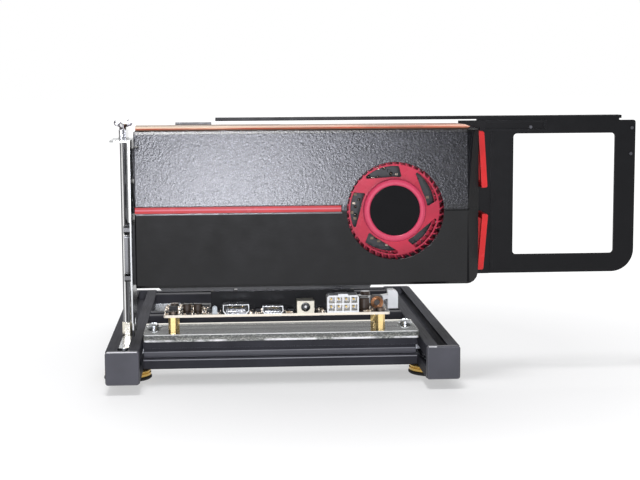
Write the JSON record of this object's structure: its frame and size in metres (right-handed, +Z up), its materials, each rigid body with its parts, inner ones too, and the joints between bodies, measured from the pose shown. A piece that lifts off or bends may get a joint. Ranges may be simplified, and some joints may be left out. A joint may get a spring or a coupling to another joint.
{
  "type": "external graphics card base",
  "caption": "Open frame of slotted rails on turned feet, with an adapter board on a clear plate that holds an upright full-length graphics card by its slot and a threaded post.",
  "frame": {"origin": "centre of the assembly's box, on the surface that the feet stand on", "axes": "+X right along the card, +Y away from the socket side, +Z up"},
  "size_m": [0.3319, 0.24, 0.1606],
  "materials": {
    "black_anodised": "black anodised, satin, with fine drawing lines along the rails",
    "black_plastic": "moulded black plastic, satin",
    "gold_foot": "gold anodised, turned",
    "foot_rubber": "black rubber",
    "zinc": "bright zinc plated steel",
    "dark_steel": "blackened steel",
    "clear_acrylic": "clear cast acrylic, polished",
    "brass": "plain turned brass",
    "circuit_board": "dark solder resist over glass fibre, tan edges",
    "slot_black": "moulded black nylon",
    "latch_white": "moulded white nylon",
    "socket_metal": "tinned steel shells",
    "ivory_plastic": "moulded ivory plastic",
    "white_plastic": "moulded white nylon",
    "brown_components": "sleeved cans and wound coils",
    "chip_black": "moulded chip packages",
    "lamp_clear": "clear lamp lens",
    "post_chrome": "chromed steel",
    "washer_black": "black rubber washer",
    "card_black": "black solder resist over glass fibre",
    "sink_metal": "bare folded aluminium fins",
    "motor_black": "black motor base",
    "wheel_red": "translucent red plastic",
    "disc_black": "plain glossy black disc",
    "shroud_black": "satin black plastic, finely textured above the crease",
    "stripe_red": "glossy red plastic",
    "strip_orange": "glossy translucent orange red plastic",
    "sheet_black": "black powder coat on bent sheet",
    "spring_steel": "plain spring steel"
  },
  "bodies": {
    "base": {"side_rail_left": "black_anodised", "side_rail_right": "black_anodised", "front_rail": "black_anodised", "middle_rail": "black_anodised", "rear_rail": "black_anodised", "cap_front_left": "black_plastic", "cap_front_right": "black_plastic", "cap_rear_left": "black_plastic", "cap_rear_right": "black_plastic", "foot_front_left": "gold_foot", "foot_front_right": "gold_foot", "foot_rear_left": "gold_foot", "foot_rear_right": "gold_foot", "ring_front_left": "foot_rubber", "ring_front_right": "foot_rubber", "ring_rear_left": "foot_rubber", "ring_rear_right": "foot_rubber", "foot_screws": "zinc", "foot_nuts": "zinc", "corner_connectors": "zinc", "connector_screws": "dark_steel", "clear_plate": "clear_acrylic", "plate_screws": "zinc", "plate_nuts": "zinc", "board_standoffs": "brass", "board_screws": "zinc", "adapter_board": "circuit_board", "expansion_slot": "slot_black", "link_socket": "socket_metal", "mini_socket": "socket_metal", "dc_socket": "ivory_plastic", "power_header": "white_plastic", "board_capacitors": "brown_components", "board_coils": "brown_components", "board_chips": "chip_black", "status_lamp": "lamp_clear", "post_nut": "zinc", "post_base": "brass", "post_rod": "post_chrome", "post_washer": "washer_black", "post_spacer": "post_chrome", "card_bracket": "post_chrome", "card_board": "card_black", "port_stack": "socket_metal", "port_small": "socket_metal", "heat_sink": "sink_metal", "blower_motor": "motor_black", "shroud": "shroud_black", "stripe": "stripe_red", "top_strip": "strip_orange", "intake_trim_upper": "stripe_red", "intake_trim_lower": "stripe_red", "extension_plate": "sheet_black", "extension_screws": "dark_steel", "spring_plate": "spring_steel"},
    "latch": {"slot_latch": "latch_white"},
    "screw": {"wing_screw": "post_chrome"},
    "wheel": {"blower_wheel": "wheel_red", "hub_disc": "disc_black"}
  },
  "joints": [
    {"name": "wheel_spin", "type": "hinge", "parent": "base", "child": "wheel", "pos_m": [0.01195, -0.09, 0.1053], "axis": [0, 1, 0], "continuous": true},
    {"name": "latch_press", "type": "hinge", "parent": "base", "child": "latch", "pos_m": [-0.00625, -0.0672, 0.0443], "axis": [0, 1, 0], "range_deg": [0, 15]},
    {"name": "screw_turn", "type": "hinge", "parent": "base", "child": "screw", "pos_m": [-0.15125, -0.0654, 0.1537], "axis": [0, 0, 1], "range_deg": [0, 720]}
  ]
}
